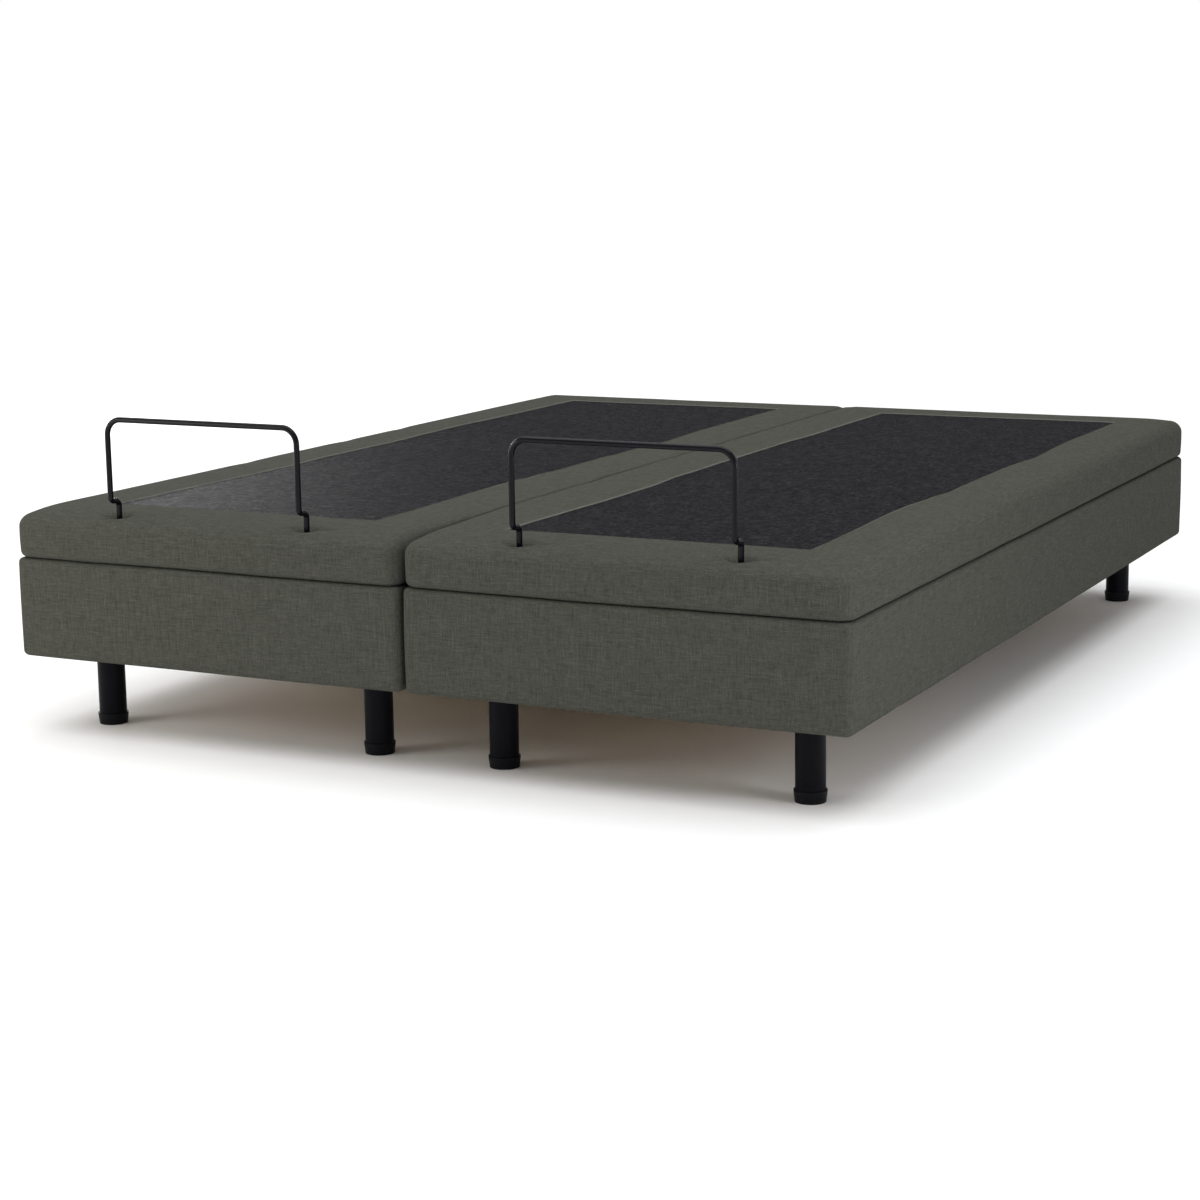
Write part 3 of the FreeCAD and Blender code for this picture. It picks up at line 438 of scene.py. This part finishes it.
class Nodes:
    """Short way to build a node material."""

    def __init__(self, name):
        self.material = bpy.data.materials.new(name)
        self.material.use_nodes = True
        self.tree = self.material.node_tree
        self.tree.nodes.clear()
        self.shader = self.add("ShaderNodeBsdfPrincipled")
        output = self.add("ShaderNodeOutputMaterial")
        self.link(self.shader.outputs["BSDF"], output.inputs["Surface"])
        self.place = self.add("ShaderNodeTexCoord").outputs["Object"]

    def add(self, kind, **settings):
        node = self.tree.nodes.new(kind)
        for key, setting in settings.items():
            setattr(node, key, setting)
        return node

    def link(self, source, target):
        self.tree.links.new(source, target)

    def scaled(self, scale, turn=(0.0, 0.0, 0.0)):
        node = self.add("ShaderNodeMapping")
        node.inputs["Scale"].default_value = scale
        node.inputs["Rotation"].default_value = turn
        self.link(self.place, node.inputs["Vector"])
        return node.outputs["Vector"]

    def noise(self, scale, detail=2.0, rough=0.5, size=1.0, turn=(0.0, 0.0, 0.0)):
        node = self.add("ShaderNodeTexNoise")
        node.inputs["Scale"].default_value = size
        node.inputs["Detail"].default_value = detail
        node.inputs["Roughness"].default_value = rough
        self.link(self.scaled(scale, turn), node.inputs["Vector"])
        return node.outputs["Fac"]

    def wave(self, direction, period, distortion=0.0):
        node = self.add("ShaderNodeTexWave", bands_direction=direction, wave_profile="SIN")
        node.inputs["Scale"].default_value = math.pi / 10 / period
        node.inputs["Distortion"].default_value = distortion
        node.inputs["Detail"].default_value = 1.0
        node.inputs["Detail Scale"].default_value = 0.4
        self.link(self.place, node.inputs["Vector"])
        return node.outputs["Fac"]

    def math(self, operation, a, b=None, clamp=False):
        node = self.add("ShaderNodeMath", operation=operation, use_clamp=clamp)
        for socket, given in zip(node.inputs, (a, b)):
            if given is None:
                continue
            if isinstance(given, (int, float)):
                socket.default_value = given
            else:
                self.link(given, socket)
        return node.outputs[0]

    def ramp(self, factor, *stops):
        node = self.add("ShaderNodeValToRGB")
        ramp = node.color_ramp
        while len(ramp.elements) < len(stops):
            ramp.elements.new(0.5)
        for element, (position, colour) in zip(ramp.elements, stops):
            element.position = position
            element.color = (*colour, 1.0)
        self.link(factor, node.inputs["Fac"])
        return node.outputs["Color"]

    def set(self, **values):
        for key, given in values.items():
            socket = self.shader.inputs[key.replace("_", " ")]
            if isinstance(given, tuple):
                socket.default_value = (*given, 1.0) if len(given) == 3 else given
            elif isinstance(given, (int, float)):
                socket.default_value = given
            else:
                self.link(given, socket)

    def bump(self, height, strength, distance):
        node = self.add("ShaderNodeBump")
        node.inputs["Strength"].default_value = strength
        node.inputs["Distance"].default_value = distance
        self.link(height, node.inputs["Height"])
        self.link(node.outputs["Normal"], self.shader.inputs["Normal"])


def melange_fabric(name, tones, thread, streak, slubby, gloss, rough, fibre):
    """Woven melange cloth: thin threads along each axis, each with its own run of tone, and thicker slubs."""
    n = Nodes(name)
    fast, slow = 1.0 / thread, 1.0 / streak
    yarns = [
        n.noise((slow, fast, fast), 2.0, 0.6),
        n.noise((fast, slow, fast), 2.0, 0.6),
        n.noise((fast, fast, slow), 2.0, 0.6),
    ]
    slubs = [
        n.noise((slow * 0.6, fast * 0.32, fast * 0.32), 1.0, 0.5),
        n.noise((fast * 0.32, slow * 0.6, fast * 0.32), 1.0, 0.5),
        n.noise((fast * 0.32, fast * 0.32, slow * 0.6), 1.0, 0.5),
    ]
    yarn = n.math("MULTIPLY", n.math("ADD", n.math("ADD", yarns[0], yarns[1]), yarns[2]), 1 / 3)
    slub = n.math("MULTIPLY", n.math("ADD", n.math("ADD", slubs[0], slubs[1]), slubs[2]), 1 / 3)
    tone = n.math("ADD", n.math("MULTIPLY", yarn, 1 - slubby), n.math("MULTIPLY", slub, slubby))
    colour = n.ramp(tone, (0.385, tones[0]), (0.50, tones[1]), (0.63, tones[2]))
    weave = n.math(
        "ADD", n.math("ADD", n.wave("X", 0.0016, 1.2), n.wave("Y", 0.0016, 1.2)), n.wave("Z", 0.0016, 1.2)
    )
    relief = n.math("ADD", n.math("MULTIPLY", weave, 0.25), n.math("MULTIPLY", tone, 0.9))
    n.set(Base_Color=colour, Specular_IOR_Level=gloss)
    n.set(Roughness=n.math("ADD", n.math("MULTIPLY", tone, -fibre), rough + fibre / 2))
    n.bump(relief, 0.55, 0.0012)
    return n.material


def painted_metal(name, colour, rough, gloss):
    """Powder coat: fine orange peel and a slight change of gloss."""
    n = Nodes(name)
    peel = n.noise((900.0, 900.0, 900.0), 2.0, 0.5)
    patch = n.noise((6.0, 6.0, 6.0), 3.0, 0.6)
    tone = tuple(c * 1.7 for c in colour)
    n.set(Base_Color=n.ramp(patch, (0.3, colour), (0.8, tone)), Specular_IOR_Level=gloss)
    n.set(Roughness=n.math("ADD", n.math("MULTIPLY", patch, 0.12), rough - 0.06))
    n.bump(peel, 0.25, 0.0002)
    return n.material


def plated_steel(name, colour, rough):
    """Zinc plate or bare turned steel with fine drawn lines."""
    n = Nodes(name)
    drawn = n.noise((40.0, 1200.0, 1200.0), 2.0, 0.6)
    patch = n.noise((9.0, 9.0, 9.0), 3.0, 0.6)
    dark = tuple(c * 0.72 for c in colour)
    n.set(Base_Color=n.ramp(patch, (0.25, dark), (0.75, colour)), Metallic=1.0)
    n.set(Roughness=n.math("ADD", n.math("MULTIPLY", drawn, 0.2), rough))
    n.bump(drawn, 0.2, 0.0002)
    return n.material


def moulded_plastic(name, colour, rough, gloss=0.4):
    """Moulded plastic with a fine spark-eroded grain."""
    n = Nodes(name)
    grain = n.noise((1400.0, 1400.0, 1400.0), 2.0, 0.5)
    patch = n.noise((12.0, 12.0, 12.0), 2.0, 0.5)
    lighter = tuple(min(1.0, c * 1.35 + 0.004) for c in colour)
    n.set(Base_Color=n.ramp(patch, (0.3, colour), (0.75, lighter)), Specular_IOR_Level=gloss)
    n.set(Roughness=n.math("ADD", n.math("MULTIPLY", grain, 0.15), rough - 0.07))
    n.bump(grain, 0.3, 0.0002)
    return n.material


def sawn_wood(name, dark, light, stretch):
    """Wood or board: long grain with pores; stretch is the grain direction's three scales."""
    n = Nodes(name)
    grain = n.noise(stretch, 5.0, 0.62)
    fleck = n.noise(tuple(s * 9 for s in stretch), 2.0, 0.5)
    tone = n.math("ADD", n.math("MULTIPLY", grain, 0.75), n.math("MULTIPLY", fleck, 0.25))
    mid = tuple((a + b) / 2 for a, b in zip(dark, light))
    n.set(Base_Color=n.ramp(tone, (0.32, dark), (0.5, mid), (0.68, light)), Roughness=0.72)
    n.bump(tone, 0.35, 0.0006)
    return n.material


def make_materials():
    """Every finish of the object, by name."""
    return {
        "olive": melange_fabric(
            "olive_melange", ((0.043, 0.0445, 0.036), (0.070, 0.071, 0.060), (0.109, 0.110, 0.095)),
            thread=0.0011, streak=0.022, slubby=0.25, gloss=0.01, rough=0.9, fibre=0.1,
        ),
        # the hem band is coloured lighter than the olive rim: a painted highlight for light catching the raised
        # hem ridge
        "hem": melange_fabric(
            "hem_painted_highlight", ((0.080, 0.082, 0.070), (0.125, 0.127, 0.110), (0.180, 0.182, 0.164)),
            thread=0.0011, streak=0.022, slubby=0.25, gloss=0.01, rough=0.9, fibre=0.1,
        ),
        "charcoal": melange_fabric(
            "charcoal_panel", ((0.0012, 0.0011, 0.0018), (0.0062, 0.0058, 0.0076), (0.036, 0.034, 0.036)),
            thread=0.0022, streak=0.014, slubby=0.35, gloss=0.02, rough=0.50, fibre=0.9,
        ),
        "panel_board": sawn_wood("panel_board", (0.28, 0.22, 0.15), (0.48, 0.40, 0.29), (30.0, 6.0, 40.0)),
        "plywood": sawn_wood("plywood", (0.46, 0.31, 0.17), (0.74, 0.56, 0.35), (60.0, 3.0, 60.0)),
        "black_steel": painted_metal("black_steel", (0.0026, 0.0028, 0.0042), 0.20, 0.16),
        "leg_black": painted_metal("leg_black", (0.0028, 0.0029, 0.0045), 0.42, 0.07),
        "zinc_steel": plated_steel("zinc_steel", (0.62, 0.62, 0.60), 0.28),
        "spindle_steel": plated_steel("spindle_steel", (0.45, 0.45, 0.46), 0.22),
        "motor_steel": painted_metal("motor_steel", (0.022, 0.023, 0.026), 0.42, 0.4),
        "black_plastic": moulded_plastic("black_plastic", (0.0035, 0.0036, 0.0052), 0.45, 0.10),
        "drive_plastic": moulded_plastic("drive_plastic", (0.022, 0.023, 0.026), 0.5),
        "nut_plastic": moulded_plastic("nut_plastic", (0.62, 0.59, 0.50), 0.4),
        "roller_plastic": moulded_plastic("roller_plastic", (0.020, 0.020, 0.021), 0.38),
        "inlet_plastic": moulded_plastic("inlet_plastic", (0.006, 0.006, 0.006), 0.4),
    }


def finish_cad(materials):
    """Give every carried-over CAD node its procedural finish."""
    slots = {part["node"]: part["material_slot"] for part in frame["record"]["subparts"]}
    for name, obj in frame["nodes"].items():
        material = materials["leg_black"] if name == "leg_tubes" else materials.get(slots[name])
        if material is None:
            continue
        obj.data.materials.clear()
        obj.data.materials.append(material)


# ---------------------------------------------------------------- room

WORLD_FILL, SUN_POWER = 0.42, 2.15


def make_floor():
    """Plain pale floor that reaches past the horizon of every view."""
    size = 90.0
    mesh = bpy.data.meshes.new("floor")
    corners = [(-size, -size, 0), (size, -size, 0), (size, size, 0), (-size, size, 0)]
    mesh.from_pydata(corners, [], [(0, 1, 2, 3)])
    floor = bpy.data.objects.new("floor", mesh)
    bpy.context.scene.collection.objects.link(floor)
    n = Nodes("pale_floor")
    speck = n.noise((14.0, 14.0, 14.0), 4.0, 0.6)
    n.set(Base_Color=n.ramp(speck, (0.2, (0.93, 0.93, 0.93)), (0.8, (0.95, 0.95, 0.95))))
    n.set(Roughness=0.9, Specular_IOR_Level=0.05)
    mesh.materials.append(n.material)


def area_light(name, at, target, size, power, colour):
    """Soft rectangular light that looks at a point."""
    data = bpy.data.lights.new(name, "AREA")
    data.shape = "RECTANGLE"
    data.size, data.size_y = size
    data.energy = power
    data.color = colour
    light = bpy.data.objects.new(name, data)
    light.location = at
    light.rotation_euler = (Vector(target) - Vector(at)).to_track_quat("-Z", "Y").to_euler()
    bpy.context.scene.collection.objects.link(light)


def make_light():
    """Soft sky, a very soft sun from above, three lights round the bed and a thin strip over it."""
    scene = bpy.context.scene
    world = bpy.data.worlds.new("studio")
    world.use_nodes = True
    tree = world.node_tree
    tree.nodes.clear()
    seen = tree.nodes.new("ShaderNodeBackground")
    seen.inputs["Strength"].default_value = 1.0
    seen.inputs["Color"].default_value = (1.0, 1.0, 1.0, 1.0)
    fill = tree.nodes.new("ShaderNodeBackground")
    fill.inputs["Strength"].default_value = WORLD_FILL
    fill.inputs["Color"].default_value = (0.97, 0.98, 1.0, 1.0)
    path = tree.nodes.new("ShaderNodeLightPath")
    mix = tree.nodes.new("ShaderNodeMixShader")
    output = tree.nodes.new("ShaderNodeOutputWorld")
    tree.links.new(path.outputs["Is Camera Ray"], mix.inputs[0])
    tree.links.new(fill.outputs[0], mix.inputs[1])
    tree.links.new(seen.outputs[0], mix.inputs[2])
    tree.links.new(mix.outputs[0], output.inputs["Surface"])
    scene.world = world
    sun = bpy.data.lights.new("overhead", "SUN")
    sun.energy = SUN_POWER
    sun.angle = math.radians(70)
    lamp = bpy.data.objects.new("overhead", sun)
    lamp.rotation_euler = Vector((0.06, 0.06, -1.0)).to_track_quat("-Z", "Y").to_euler()
    scene.collection.objects.link(lamp)
    area_light("key_left", (-2.2, -2.7, 1.0), (-0.7, -1.0, 0.25), (1.4, 1.0), 25.0, (1.0, 0.96, 0.88))
    area_light("key_right", (2.2, -1.10, 0.7), (0.8, -1.0, 0.25), (0.6, 0.5), 8.0, (0.96, 0.98, 1.0))
    area_light("sweep", (-4.4, 3.2, 1.25), (-0.6, -0.7, 0.4), (2.2, 1.0), 42.0, (1.0, 0.98, 0.97))
    area_light("strip", (0.0, 0.6, 3.2), (0.0, -0.6, 0.4), (4.5, 0.2), 16.0, (0.93, 0.96, 1.0))
    scene.view_settings.view_transform = "Standard"


# ---------------------------------------------------------------- build

make_camera()
MATERIALS = make_materials()
finish_cad(MATERIALS)
for unit_name in UNITS:
    # the third material, on the hem band, carries the painted highlight
    lid_cover(unit_name, [MATERIALS["olive"], MATERIALS["charcoal"], MATERIALS["hem"]])
    box_skin(unit_name, MATERIALS["olive"])
make_floor()
make_light()
